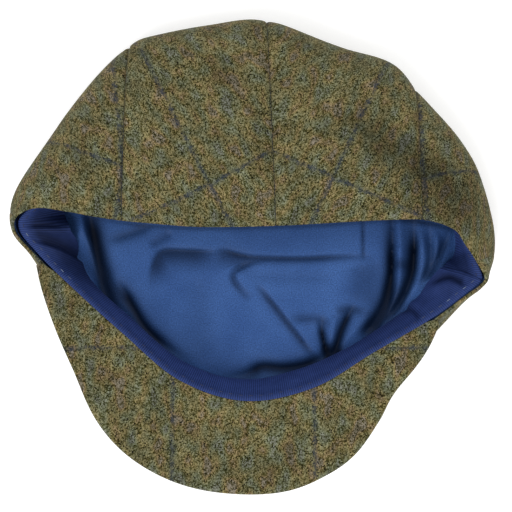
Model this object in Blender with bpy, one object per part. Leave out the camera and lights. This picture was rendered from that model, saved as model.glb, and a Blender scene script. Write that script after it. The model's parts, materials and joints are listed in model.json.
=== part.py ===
"""A tweed flat cap lying upside down on its crown, modelled in metres with +Z up.

The crown's top rests on z = 0 and the mouth opens upward. +X is the cap's one side, +Y its
back and -Y its peak. Eight crown panels, a peak, a ribbon sweatband and a satin lining are
separate closed bodies with a small gap between neighbours.

Every piece of the crown follows one surface. A place from 0 to 8 goes round the mouth, with
a crown seam at each whole number and the back seam at 0. A run from 0 to 3 goes over the
cloth: 0 at the rim, 1 at the outline, 2 where the cloth reaches the floor and 3 at the
middle of the crown.
"""

import math
from collections import namedtuple

import bmesh
import bpy
from mathutils import Vector

# Driving sizes of the whole cap
HALF_WIDTH = 0.1352
HALF_LENGTH = 0.1312
CROWN_HEIGHT = 0.040
CROWN_MIDDLE_SET_BACK = 0.0135

# Cloth and board thicknesses
TWEED_THICKNESS = 0.0018
LINING_THICKNESS = 0.0010
RIBBON_THICKNESS = 0.0010
PEAK_THICKNESS = 0.0036

# Sizes of the sewn-in pieces
RIBBON_WIDTH = 0.028
PEAK_DEPTH = 0.049
PEAK_RISE = 0.012
PEAK_DISH = 0.0025
PEAK_BELOW_RIM = 0.0006
PEAK_ROUND = 0.0008
FLOOR_ROUND = 0.021

# Clearances
SEAM_GAP = 0.0003
LAYER_GAP = 0.0003

# Mesh counts
PANELS = 8
COLUMNS = 8
ROOF_ROWS = 8
FOLD_ROWS = 4
FLOOR_ROWS = 3
RIBBON_ROWS = 3
PEAK_ROWS = 4

# How full the cloth is between the rim and the outline, as shares of their distance
ROOF_LEAD = 0.45
FOLD_LEAD = 0.30
ROUND_LEAD = 0.55
PANEL_POINT_RUN = 2.985
ROW_CROWDING = 0.5
STEP = 0.002

# One row for each section round the mouth. Lengths are shares of HALF_WIDTH (x),
# HALF_LENGTH (y) and CROWN_HEIGHT (z). Lean is the slope down at the rim, in degrees.
Section = namedtuple("Section", "at edge_x edge_y edge_z fold_x fold_y fold_z lean")
SECTIONS = (
    Section(0.00, 0.097, 0.114, 0.85, 0.061, 0.995, 0.38, -8),
    Section(0.50, -0.221, 0.110, 0.85, -0.217, 0.970, 0.35, -8),
    Section(0.85, -0.440, 0.127, 0.87, -0.438, 0.922, 0.35, -8),
    Section(1.00, -0.534, 0.135, 0.88, -0.512, 0.883, 0.38, -8),
    Section(1.25, -0.644, 0.153, 0.88, -0.661, 0.733, 0.40, -7),
    Section(1.50, -0.758, 0.175, 0.85, -0.811, 0.532, 0.40, -4),
    Section(1.80, -0.890, 0.205, 0.79, -0.958, 0.304, 0.42, 12),
    Section(2.00, -0.976, 0.165, 0.72, -1.000, 0.177, 0.45, 70),
    Section(2.15, -0.976, 0.084, 0.70, -0.986, 0.084, 0.42, 80),
    Section(2.30, -0.905, -0.001, 0.72, -0.915, -0.006, 0.42, 80),
    Section(2.50, -0.784, -0.120, 0.76, -0.825, -0.162, 0.42, 80),
    Section(3.00, -0.540, -0.346, 0.84, -0.639, -0.489, 0.42, 78),
    Section(3.50, -0.305, -0.545, 0.88, -0.372, -0.721, 0.42, 78),
    Section(4.00, -0.030, -0.635, 0.89, -0.030, -0.818, 0.42, 78),
    Section(4.50, 0.255, -0.579, 0.89, 0.322, -0.746, 0.42, 78),
    Section(5.00, 0.505, -0.428, 0.86, 0.571, -0.530, 0.42, 78),
    Section(5.50, 0.755, -0.279, 0.82, 0.785, -0.308, 0.43, 78),
    Section(5.70, 0.885, -0.182, 0.84, 0.895, -0.188, 0.45, 75),
    Section(5.86, 0.956, -0.112, 0.84, 0.961, -0.117, 0.47, 65),
    Section(6.00, 0.916, -0.032, 0.88, 0.999, -0.007, 0.55, 30),
    Section(6.25, 0.870, 0.034, 0.90, 0.986, 0.176, 0.50, 10),
    Section(6.50, 0.824, 0.097, 0.90, 0.915, 0.407, 0.42, -3),
    Section(7.00, 0.694, 0.139, 0.90, 0.680, 0.703, 0.38, -7),
    Section(7.25, 0.552, 0.139, 0.88, 0.577, 0.812, 0.35, -8),
    Section(7.50, 0.398, 0.131, 0.88, 0.394, 0.871, 0.35, -8),
)

# The peak: reach is a share of PEAK_DEPTH, aim its plan direction in degrees from +X, and
# rise a share of PEAK_RISE.
PeakRow = namedtuple("PeakRow", "at reach aim rise")
PEAK_START = 2.375
PEAK_END = 5.5
PEAK_EDGE = (
    PeakRow(2.375, 0.10, 175, 0.10),
    PeakRow(2.50, 0.22, 186, 0.50),
    PeakRow(2.75, 0.43, 205, 0.85),
    PeakRow(3.00, 0.61, 216, 0.95),
    PeakRow(3.25, 0.83, 228, 1.00),
    PeakRow(3.50, 0.96, 237, 1.00),
    PeakRow(3.75, 1.00, 247, 1.00),
    PeakRow(4.00, 0.98, 263, 1.00),
    PeakRow(4.25, 0.96, 276, 1.00),
    PeakRow(4.50, 0.88, 280, 1.00),
    PeakRow(4.75, 0.77, 278, 0.95),
    PeakRow(5.00, 0.64, 270, 0.85),
    PeakRow(5.25, 0.48, 262, 0.60),
    PeakRow(5.50, 0.06, 290, 0.10),
)

# The ribbon's run from its sewn edge to its free edge: aim is the plan direction in degrees
# from +X, and drop the slope down, in degrees.
RibbonRow = namedtuple("RibbonRow", "at aim drop")
RIBBON_RUN = (
    RibbonRow(0.00, 90, 22),
    RibbonRow(1.00, 88, 22),
    RibbonRow(1.50, 70, 28),
    RibbonRow(1.80, 32, 44),
    RibbonRow(2.00, 8, 36),
    RibbonRow(2.15, 2, 22),
    RibbonRow(2.30, 12, 42),
    RibbonRow(2.50, 35, 62),
    RibbonRow(3.00, 52, 72),
    RibbonRow(3.50, 60, 73),
    RibbonRow(4.00, 84, 69),
    RibbonRow(4.50, 106, 68),
    RibbonRow(5.00, 120, 72),
    RibbonRow(5.50, 132, 62),
    RibbonRow(5.70, 152, 48),
    RibbonRow(5.86, 164, 46),
    RibbonRow(6.00, 152, 64),
    RibbonRow(6.25, 108, 66),
    RibbonRow(6.50, 96, 42),
    RibbonRow(7.00, 92, 24),
)

# Standing folds of the lining in plan, from one end to the other: x in shares of
# HALF_WIDTH, y in shares of HALF_LENGTH, height and spread in shares of CROWN_HEIGHT.
Fold = namedtuple("Fold", "x0 y0 x1 y1 height spread")
LINING_FOLDS = (
    Fold(-0.65, 0.17, -0.60, -0.07, 0.12, 0.16),
    Fold(-0.37, 0.01, -0.35, -0.13, 0.07, 0.16),
    Fold(-0.13, 0.01, 0.44, -0.01, 0.07, 0.12),
    Fold(0.04, -0.13, 0.18, -0.31, 0.06, 0.14),
    Fold(0.32, -0.29, 0.31, -0.43, 0.08, 0.14),
    Fold(0.57, 0.19, 0.58, -0.15, 0.14, 0.14),
    Fold(0.66, 0.19, 0.68, -0.07, 0.10, 0.12),
)

TWEED_COLOUR = (0.117, 0.098, 0.042, 1.0)
LINING_COLOUR = (0.016, 0.060, 0.200, 1.0)
RIBBON_COLOUR = (0.010, 0.020, 0.095, 1.0)


def clear_scene():
    for item in list(bpy.data.objects):
        bpy.data.objects.remove(item, do_unlink=True)


def make_material(name, colour, roughness):
    material = bpy.data.materials.new(name)
    material.use_nodes = True
    shader = material.node_tree.nodes["Principled BSDF"]
    shader.inputs["Base Color"].default_value = colour
    shader.inputs["Roughness"].default_value = roughness
    shader.inputs["Metallic"].default_value = 0.0
    return material


def blend(rows, column, at, period=None):
    """A smooth curve through one column of a table, round a loop when it has a period."""
    count = len(rows)
    if period:
        at = at % period
        index = max(i for i in range(count) if rows[i].at <= at + 1e-9)
    else:
        index = max(i for i in range(count - 1) if rows[i].at <= at + 1e-9 or i == 0)

    def knot(i):
        if period:
            turn, i = divmod(i, count)
            return rows[i].at + turn * period, getattr(rows[i], column)
        i = min(max(i, 0), count - 1)
        return rows[i].at, getattr(rows[i], column)

    def slope(i):
        before, after = knot(i - 1), knot(i + 1)
        return (after[1] - before[1]) / (after[0] - before[0])

    start, end = knot(index), knot(index + 1)
    width = end[0] - start[0]
    t = (at - start[0]) / width
    rise = slope(index) * width
    fall = slope(index + 1) * width
    return (
        start[1] * (1 + 2 * t) * (1 - t) ** 2
        + rise * t * (1 - t) ** 2
        + end[1] * t * t * (3 - 2 * t)
        - fall * t * t * (1 - t)
    )


def bezier(p0, p1, p2, p3, t):
    s = 1 - t
    return p0 * s ** 3 + p1 * (3 * s * s * t) + p2 * (3 * s * t * t) + p3 * t ** 3


def section(place):
    """Rim point, outline point and lean of the crown at one place round the mouth."""
    value = {name: blend(SECTIONS, name, place, PANELS) for name in Section._fields[1:]}
    rim = Vector((
        value["edge_x"] * HALF_WIDTH,
        value["edge_y"] * HALF_LENGTH,
        value["edge_z"] * CROWN_HEIGHT,
    ))
    outline = Vector((
        value["fold_x"] * HALF_WIDTH,
        value["fold_y"] * HALF_LENGTH,
        value["fold_z"] * CROWN_HEIGHT,
    ))
    return rim, outline, math.radians(value["lean"])


def crown_point(place, run):
    """A point on the crown's outer face."""
    rim, outline, lean = section(place)
    middle = Vector((0.0, CROWN_MIDDLE_SET_BACK, 0.0))
    down = Vector((0.0, 0.0, -1.0))
    if run <= 1:
        level = Vector((outline.x - rim.x, outline.y - rim.y, 0.0)).normalized()
        distance = (outline - rim).length
        leave = rim + (level * math.cos(lean) + down * math.sin(lean)) * distance * ROOF_LEAD
        arrive = outline - down * distance * FOLD_LEAD
        return bezier(rim, leave, arrive, outline, run)
    foot = Vector((outline.x, outline.y, 0.0))
    inward = (middle - foot).normalized()
    landing = foot + inward * FLOOR_ROUND
    if run <= 2:
        leave = outline + down * outline.z * ROUND_LEAD
        arrive = landing - inward * FLOOR_ROUND * ROUND_LEAD
        return bezier(outline, leave, arrive, landing, run - 1)
    return landing.lerp(middle, run - 2)


def crown_frame(place, run):
    """The point, the direction along the rim and the inward normal of the outer face."""
    point = crown_point(place, run)
    if run >= 2:
        inside = Vector((0.0, 0.0, 1.0))
    else:
        low_run = max(run - STEP, 0.0)
        high_run = min(run + STEP, 2.0)
        over = crown_point(place, high_run) - crown_point(place, low_run)
        along = crown_point(place + STEP, run) - crown_point(place - STEP, run)
        inside = along.cross(over).normalized()
    near = min(run, PANEL_POINT_RUN)
    along = (crown_point(place + STEP, near) - crown_point(place - STEP, near)).normalized()
    return point, along, inside


def crowded(share):
    """A share moved towards the nearer end, so that rows lie closer at the rim and outline."""
    return share - ROW_CROWDING * math.sin(2 * math.pi * share) / (2 * math.pi)


def crown_runs():
    """The rows of the crown's mesh, from the rim to the middle."""
    roof = [crowded(i / ROOF_ROWS) for i in range(ROOF_ROWS)]
    fold = [1 + i / FOLD_ROWS for i in range(FOLD_ROWS)]
    floor = [2 + i / FLOOR_ROWS for i in range(FLOOR_ROWS)]
    return roof + fold + floor


def make_sheet(columns, rows, place_point, closed):
    """A grid of columns and rows, laid by place_point and given its second face.

    place_point takes a column, a row and a layer (0 for the outer face, 1 for the inner
    one) and returns a point.
    """
    mesh = bmesh.new()
    bmesh.ops.create_grid(mesh, x_segments=len(columns) - 1, y_segments=len(rows) - 1, size=0.5)
    column_of = mesh.verts.layers.int.new("column")
    row_of = mesh.verts.layers.int.new("row")
    for vert in mesh.verts:
        vert[column_of] = round((vert.co.x + 0.5) * (len(columns) - 1))
        vert[row_of] = round((vert.co.y + 0.5) * (len(rows) - 1))
        vert.co = place_point(columns[vert[column_of]], rows[vert[row_of]], 0)
    if closed:
        bmesh.ops.remove_doubles(mesh, verts=mesh.verts, dist=1e-6)
    grown = bmesh.ops.extrude_face_region(mesh, geom=mesh.faces[:], use_keep_orig=True)
    for vert in grown["geom"]:
        if isinstance(vert, bmesh.types.BMVert):
            vert.co = place_point(columns[vert[column_of]], rows[vert[row_of]], 1)
    bmesh.ops.recalc_face_normals(mesh, faces=mesh.faces)
    return mesh


def add_object(name, mesh, material):
    data = bpy.data.meshes.new(name)
    mesh.to_mesh(data)
    mesh.free()
    data.materials.append(material)
    data.shade_smooth()
    data.set_sharp_from_angle(angle=math.radians(50))
    body = bpy.data.objects.new(name, data)
    bpy.context.scene.collection.objects.link(body)
    return body


def make_crown_panel(number, material):
    """One crown panel, from its seam at number - 1 to the next."""
    columns = [number - 1 + i / COLUMNS for i in range(COLUMNS + 1)]
    rows = crown_runs() + [PANEL_POINT_RUN]

    def place_point(place, run, layer):
        point, along, inside = crown_frame(place, run)
        if place == columns[0]:
            point = point + along * SEAM_GAP / 2
        if place == columns[-1]:
            point = point - along * SEAM_GAP / 2
        return point + inside * TWEED_THICKNESS * layer

    mesh = make_sheet(columns, rows, place_point, closed=False)
    return add_object(f"crown_panel_{number}", mesh, material)


def fold_height(x, y):
    """How far the lining stands up from the crown at a place in plan."""
    height = 0.0
    for fold in LINING_FOLDS:
        start = Vector((fold.x0 * HALF_WIDTH, fold.y0 * HALF_LENGTH))
        end = Vector((fold.x1 * HALF_WIDTH, fold.y1 * HALF_LENGTH))
        line = end - start
        share = max(0.0, min(1.0, (Vector((x, y)) - start).dot(line) / line.length_squared))
        away = (Vector((x, y)) - start - line * share).length
        spread = fold.spread * CROWN_HEIGHT
        height = max(height, fold.height * CROWN_HEIGHT * math.exp(-(away / spread) ** 2))
    return height


def make_lining(material):
    """The satin lining, one sheet inside all eight panels."""
    columns = [i / COLUMNS for i in range(PANELS * COLUMNS + 1)]
    rows = crown_runs() + [3.0]

    def place_point(place, run, layer):
        point, along, inside = crown_frame(place, run)
        depth = TWEED_THICKNESS + LAYER_GAP + LINING_THICKNESS * layer
        if run > 1:
            depth += fold_height(point.x, point.y)
        return point + inside * depth

    mesh = make_sheet(columns, rows, place_point, closed=True)
    return add_object("lining", mesh, material)


def ribbon_point(place, share):
    """A point in the middle of the ribbon's thickness, at a share of its width."""
    point, along, inside = crown_frame(place, 0.0)
    to_lining = TWEED_THICKNESS + LAYER_GAP + LINING_THICKNESS
    sewn = point + inside * (to_lining + LAYER_GAP + RIBBON_THICKNESS / 2)
    aim = math.radians(blend(RIBBON_RUN, "aim", place, PANELS))
    drop = math.radians(blend(RIBBON_RUN, "drop", place, PANELS))
    level = Vector((math.cos(aim), math.sin(aim), 0.0))
    return sewn + (level * math.cos(drop) - Vector((0, 0, math.sin(drop)))) * RIBBON_WIDTH * share


def make_sweatband(material):
    """The ribbon sweatband, sewn at the rim and free at its other edge."""
    columns = [i / COLUMNS for i in range(PANELS * COLUMNS + 1)]
    rows = [i / RIBBON_ROWS for i in range(RIBBON_ROWS + 1)]

    def place_point(place, share, layer):
        along = ribbon_point(place + STEP, share) - ribbon_point(place - STEP, share)
        down = ribbon_point(place, 1.0) - ribbon_point(place, 0.0)
        side = along.cross(down).normalized()
        return ribbon_point(place, share) + side * RIBBON_THICKNESS * (layer - 0.5)

    mesh = make_sheet(columns, rows, place_point, closed=True)
    return add_object("sweatband", mesh, material)


def run_at_drop(place, drop):
    """The run at which the crown's outer face lies a given drop below its rim."""
    target = crown_point(place, 0.0).z - drop
    low, high = 0.0, 1.0
    for _ in range(30):
        half = (low + high) / 2
        if crown_point(place, half).z > target:
            low = half
        else:
            high = half
    return low


def peak_point(place, share, layer):
    """A point of the peak: layer 0 is its upper face as it lies, layer 1 its lower face."""
    drop = PEAK_BELOW_RIM + PEAK_THICKNESS * layer
    wall, along, inside = crown_frame(place, run_at_drop(place, drop))
    base = wall - inside * LAYER_GAP
    upper, along, inside = crown_frame(place, run_at_drop(place, PEAK_BELOW_RIM))
    aim = math.radians(blend(PEAK_EDGE, "aim", place))
    reach = blend(PEAK_EDGE, "reach", place) * PEAK_DEPTH
    front = upper + Vector((math.cos(aim), math.sin(aim), 0.0)) * reach
    front.z += blend(PEAK_EDGE, "rise", place) * PEAK_RISE - PEAK_THICKNESS * layer
    point = base.lerp(front, share)
    point.z -= PEAK_DISH * math.sin(math.pi * share) * reach / PEAK_DEPTH
    if share == 1.0:
        point.z += PEAK_ROUND * (2 * layer - 1)
    return point


def make_peak(material):
    """The peak, butted to the crown's front below the rim."""
    first = round(PEAK_START * COLUMNS)
    last = round(PEAK_END * COLUMNS)
    columns = [i / COLUMNS for i in range(first, last + 1)]
    rows = [i / PEAK_ROWS for i in range(PEAK_ROWS)] + [0.97, 1.0]
    mesh = make_sheet(columns, rows, peak_point, closed=False)
    return add_object("peak", mesh, material)


def build_cap():
    clear_scene()
    tweed = make_material("tweed", TWEED_COLOUR, 0.95)
    satin = make_material("satin_lining", LINING_COLOUR, 0.35)
    grosgrain = make_material("grosgrain_ribbon", RIBBON_COLOUR, 0.60)
    for number in range(1, PANELS + 1):
        make_crown_panel(number, tweed)
    make_lining(satin)
    make_sweatband(grosgrain)
    make_peak(tweed)


build_cap()
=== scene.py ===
import json
import math
from collections import namedtuple
from functools import lru_cache

import bmesh
import bpy
import numpy as np
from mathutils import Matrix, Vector, noise

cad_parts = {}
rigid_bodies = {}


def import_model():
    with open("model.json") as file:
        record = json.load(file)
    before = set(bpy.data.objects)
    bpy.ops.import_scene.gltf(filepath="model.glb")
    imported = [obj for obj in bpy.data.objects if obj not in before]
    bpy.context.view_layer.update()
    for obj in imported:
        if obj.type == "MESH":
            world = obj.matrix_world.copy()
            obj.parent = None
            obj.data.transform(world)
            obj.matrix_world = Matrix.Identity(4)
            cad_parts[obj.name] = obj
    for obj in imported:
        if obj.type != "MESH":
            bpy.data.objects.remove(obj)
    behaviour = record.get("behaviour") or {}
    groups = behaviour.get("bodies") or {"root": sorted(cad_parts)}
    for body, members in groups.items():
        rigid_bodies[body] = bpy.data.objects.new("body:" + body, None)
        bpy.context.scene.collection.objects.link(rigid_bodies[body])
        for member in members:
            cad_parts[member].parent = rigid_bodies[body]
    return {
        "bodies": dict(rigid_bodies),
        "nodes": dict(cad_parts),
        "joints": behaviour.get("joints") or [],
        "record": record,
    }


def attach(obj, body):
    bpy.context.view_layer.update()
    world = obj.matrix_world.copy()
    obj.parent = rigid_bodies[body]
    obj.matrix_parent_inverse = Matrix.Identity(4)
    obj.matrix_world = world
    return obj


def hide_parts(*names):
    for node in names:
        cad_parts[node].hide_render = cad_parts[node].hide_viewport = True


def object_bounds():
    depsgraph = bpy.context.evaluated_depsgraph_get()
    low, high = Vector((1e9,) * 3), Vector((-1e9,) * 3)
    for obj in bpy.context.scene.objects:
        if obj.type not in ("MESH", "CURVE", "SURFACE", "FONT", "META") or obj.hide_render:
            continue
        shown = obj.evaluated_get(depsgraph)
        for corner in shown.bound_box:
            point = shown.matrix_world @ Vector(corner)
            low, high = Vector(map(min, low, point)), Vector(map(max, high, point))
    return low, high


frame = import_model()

cad_low, cad_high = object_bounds()

# Sizes of the cap in metres, read from the frame or the same as in the part's own source
HALF_WIDTH = (cad_high.x - cad_low.x) / 2
HALF_LENGTH = (cad_high.y - cad_low.y) / 2
CROWN_HEIGHT = 0.040
CROWN_MIDDLE_SET_BACK = 0.0135
TWEED_THICKNESS = 0.0018
LINING_THICKNESS = 0.0008
RIBBON_THICKNESS = 0.0008
PEAK_THICKNESS = 0.0036
RIBBON_WIDTH = 0.028
PEAK_DEPTH = 0.049
PEAK_RISE = 0.012
PEAK_DISH = 0.0025
PEAK_BELOW_RIM = 0.0004
FLOOR_ROUND = 0.021
SEAM_GAP = 0.0002
LAYER_GAP = 0.0003
PANELS = 8
ROOF_LEAD = 0.45
FOLD_LEAD = 0.30
ROUND_LEAD = 0.55
PANEL_POINT_RUN = 2.985
STEP = 0.002

# One row for each section round the mouth, as in the part's own source. Places are counted in
# panels, from the back seam round by the left.
Section = namedtuple("Section", "at edge_x edge_y edge_z fold_x fold_y fold_z lean")
SECTIONS = tuple(Section(*row) for row in (
    (0.00, 0.097, 0.114, 0.85, 0.061, 0.995, 0.38, -8),
    (0.50, -0.221, 0.110, 0.85, -0.217, 0.970, 0.35, -8),
    (0.85, -0.440, 0.127, 0.87, -0.438, 0.922, 0.35, -8),
    (1.00, -0.534, 0.135, 0.88, -0.512, 0.883, 0.38, -8),
    (1.25, -0.644, 0.153, 0.88, -0.661, 0.733, 0.40, -7),
    (1.50, -0.758, 0.175, 0.85, -0.811, 0.532, 0.40, -4),
    (1.80, -0.890, 0.190, 0.79, -0.958, 0.304, 0.42, 12),
    (2.00, -0.972, 0.153, 0.72, -1.000, 0.177, 0.45, 70),
    (2.15, -0.976, 0.084, 0.70, -0.986, 0.084, 0.42, 80),
    (2.30, -0.905, -0.001, 0.72, -0.915, -0.006, 0.42, 80),
    (2.50, -0.784, -0.120, 0.76, -0.825, -0.162, 0.42, 80),
    (3.00, -0.540, -0.346, 0.84, -0.639, -0.489, 0.42, 78),
    (3.50, -0.305, -0.545, 0.88, -0.372, -0.721, 0.42, 78),
    (4.00, -0.030, -0.635, 0.89, -0.030, -0.818, 0.42, 78),
    (4.50, 0.255, -0.579, 0.89, 0.322, -0.746, 0.42, 78),
    (5.00, 0.505, -0.428, 0.86, 0.571, -0.530, 0.42, 78),
    (5.50, 0.755, -0.279, 0.82, 0.785, -0.308, 0.43, 78),
    (5.70, 0.885, -0.182, 0.84, 0.895, -0.188, 0.45, 75),
    (5.86, 0.956, -0.112, 0.84, 0.961, -0.117, 0.47, 65),
    (6.00, 0.916, -0.032, 0.88, 0.999, -0.007, 0.55, 30),
    (6.25, 0.870, 0.034, 0.90, 0.986, 0.176, 0.50, 10),
    (6.50, 0.824, 0.097, 0.90, 0.915, 0.407, 0.42, -3),
    (7.00, 0.694, 0.139, 0.90, 0.680, 0.703, 0.38, -7),
    (7.25, 0.552, 0.139, 0.88, 0.577, 0.812, 0.35, -8),
    (7.50, 0.398, 0.131, 0.88, 0.394, 0.871, 0.35, -8),
))

# How deeply each seam shows, from the back seam round by the left
SEAM_DEPTHS = (0.8, 1.0, 0.25, 0.8, 0.8, 0.8, 0.12, 0.7)

# The peak's reach, aim and rise at each place
PeakRow = namedtuple("PeakRow", "at reach aim rise")
PEAK_EDGE = tuple(PeakRow(*row) for row in (
    (2.375, 0.07, 188, 0.10),
    (2.50, 0.22, 186, 0.50),
    (2.75, 0.43, 205, 0.85),
    (3.00, 0.625, 216, 0.95),
    (3.25, 0.85, 228, 1.00),
    (3.50, 0.96, 237, 1.00),
    (3.75, 1.00, 247, 1.00),
    (4.00, 0.98, 263, 1.00),
    (4.25, 0.975, 276, 1.00),
    (4.50, 0.91, 280, 1.00),
    (4.75, 0.84, 279, 0.95),
    (5.00, 0.72, 272, 0.85),
    (5.25, 0.50, 264, 0.60),
    (5.50, 0.06, 290, 0.10),
))
PEAK_START = PEAK_EDGE[0].at
PEAK_END = PEAK_EDGE[-1].at
LEAST_REACH = 0.02
EASE_OUTSIDE = 0.05
EASE_INSIDE = 0.10

# The ribbon's run from its sewn edge to its free edge
RibbonRow = namedtuple("RibbonRow", "at aim drop")
RIBBON_RUN = tuple(RibbonRow(*row) for row in (
    (0.00, 90, 22),
    (1.00, 88, 22),
    (1.50, 70, 28),
    (1.80, 32, 44),
    (2.00, 8, 36),
    (2.15, 2, 18),
    (2.30, 12, 41),
    (2.50, 35, 74),
    (3.00, 52, 79),
    (3.50, 60, 78),
    (4.00, 84, 73),
    (4.50, 106, 72),
    (5.00, 120, 79),
    (5.50, 132, 69),
    (5.70, 152, 52),
    (5.86, 164, 46),
    (6.00, 150, 73),
    (6.25, 104, 72),
    (6.50, 96, 42),
    (7.00, 92, 24),
))

# The camera looks straight down, and its picture is square. Folds are placed by their pixels
# in that picture, across and down, and are laid on the piece at a height above the floor.
PICTURE_SIDE = 512
LENS_PIXELS = 1754.0
CAMERA_PLACE = (0.0021, -0.0015, 1.0)
FLOOR_LEVEL = -0.0004
LINING_LEVEL = 0.008
RIBBON_LEVEL = 0.030
CROWN_LEVEL = 0.032
MILLIMETRE = 0.001

# Each fold is a path with a height, below zero for a crease, and its spread on the left and on
# the right of someone who walks along it, all in millimetres, and the painted shade laid along
# it, from 0 to 1, which darkens the cloth's colour where shade would fall; a fold of no height is
# painted shade alone
Fold = namedtuple("Fold", "path height left right shade")
LINING_FOLDS = tuple(Fold(*row) for row in (
    (((85, 196), (88, 216), (92, 238), (96, 258), (99, 274), (103, 290), (113, 308), (128, 328)),
     -5.2, 4.6, 1.8, 0.95),
    (((88, 196), (90, 218), (94, 238), (98, 258), (101, 274), (105, 292), (117, 314), (138, 336)),
     0, 3.8, 2.2, 1),
    (((77, 196), (82, 220), (86, 242), (91, 264), (96, 284), (105, 300)), 3.6, 1.8, 6, 0),
    (((150, 292), (152, 274), (156, 259), (164, 251), (186, 251), (208, 252), (230, 252)),
     -1.8, 1.4, 6.5, 0.74),
    (((212, 248), (226, 251), (240, 255), (256, 257), (300, 258), (345, 256), (386, 256)),
     -1.6, 1, 2.2, 0.7),
    (((214, 252), (228, 257), (240, 262), (236, 274)), -1.4, 4.5, 4.5, 0.4),
    (((272, 259), (256, 262), (244, 266), (235, 272), (234, 280), (240, 288), (252, 298)),
     -1.4, 1.2, 1.8, 0.48),
    (((230, 270), (240, 289), (252, 301)), -0.8, 1.4, 1.4, 0.25),
    (((240, 276), (285, 277), (340, 278)), -0.6, 3, 3, 0.14),
    (((254, 280), (263, 291), (276, 307), (286, 320), (297, 334), (309, 350), (322, 366)),
     -1.8, 1, 2, 0.68),
    (((363, 214), (363, 240), (363, 262)), -1, 0.9, 0.9, 0.55),
    (((194, 274), (200, 312), (203, 366)), -1.1, 6, 7, 0.16),
    (((104, 242), (124, 236), (138, 231), (156, 224)), -0.9, 2.6, 2.6, 0.52),
    (((148, 246), (161, 239), (172, 231)), -0.9, 2.4, 2.4, 0.36),
    (((104, 262), (112, 286), (134, 312)), -0.9, 3, 3, 0.2),
    (((393, 190), (393, 245), (393, 268), (391, 290), (386, 310), (376, 332), (366, 350)),
     -4.6, 1.1, 2.4, 0.95),
    (((391, 190), (391, 236), (391, 272), (390, 294), (384, 310), (372, 328), (356, 344)),
     0, 1.4, 3.2, 0.9),
    (((399, 190), (399, 245), (399, 270), (397, 292), (388, 322)), 3.4, 3.6, 1.6, 0),
    (((390, 268), (389, 290), (383, 308), (372, 324), (358, 340)), -2.6, 3, 3.4, 0.85),
    (((412, 214), (415, 238), (415, 254), (414, 270), (410, 284), (404, 298), (394, 314), (382, 330)),
     -4.6, 1.5, 3.2, 1),
    (((411, 214), (414, 238), (414, 256), (412, 272), (407, 288), (396, 306), (380, 328)),
     0, 1.6, 3.4, 0.9),
    (((394, 262), (404, 265), (414, 266)), 0, 2.8, 2.8, 0.55),
    (((420, 222), (422, 246), (423, 266), (419, 284), (410, 300)), 2.6, 3, 2.6, 0),
    (((428, 222), (431, 244), (431, 258), (426, 273), (416, 290)), -2, 1.5, 2.6, 0.5),
    (((437, 230), (437, 252), (433, 270)), 2, 2.2, 2.2, 0),
    (((453, 222), (447, 240), (440, 256), (434, 267), (428, 277), (416, 293)), -3.4, 2, 2.6, 0.72),
    (((460, 226), (455, 246), (447, 260), (438, 271), (428, 283), (416, 297)), 3.6, 2.2, 2.2, 0),
    (((468, 236), (457, 255), (444, 271)), -1.4, 1.6, 1.6, 0.5),
    (((358, 262), (360, 280), (357, 304)), -1.2, 5, 5.5, 0.22),
    (((378, 256), (372, 286), (378, 318)), -1, 4, 6, 0.3),
    (((286, 319), (306, 318), (322, 320), (330, 330)), -0.8, 2, 2.2, 0.45),
    (((320, 316), (322, 332), (325, 347), (328, 358), (332, 374)), -3.6, 1.8, 1.8, 0.97),
    (((356, 302), (349, 315), (343, 328), (339, 340), (335, 354), (332, 372)), -3.6, 2.1, 2.6, 0.97),
    (((334, 313), (348, 309), (366, 313)), 0, 2.2, 2.2, 0.5),
    (((322, 344), (332, 352), (346, 350)), 0, 2.4, 2.4, 0.9),
    (((334, 314), (332, 346)), 1.8, 2.6, 2.6, 0),
    (((370, 310), (356, 334), (344, 352)), 2.6, 4.5, 4.5, 0),
    (((300, 318), (306, 338), (312, 362)), 1, 5, 5, 0),
    (((116, 278), (125, 293), (135, 311), (145, 327), (164, 345), (196, 367)), -2.6, 2.8, 3.2, 0.95),
    (((214, 380), (246, 374), (262, 367), (284, 368), (304, 365), (322, 358), (350, 342)),
     -3, 3, 3.6, 0.92),
    (((356, 336), (376, 324), (392, 312), (406, 298)), -2.2, 3, 3, 0.8),
    # Painted shade alone: the shadow that the tweed's rim casts on the lining along the top of the opening
    (((40, 212), (86, 216), (120, 222), (150, 226), (202, 228), (263, 227), (324, 225), (365, 221),
          (391, 220), (427, 226), (462, 240)), 0, 1.3, 1.3, 0.45),
    (((376, 217), (400, 218), (427, 223), (445, 227), (459, 232), (472, 248)), 0, 1.5, 1.5, 0.75),
))
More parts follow.
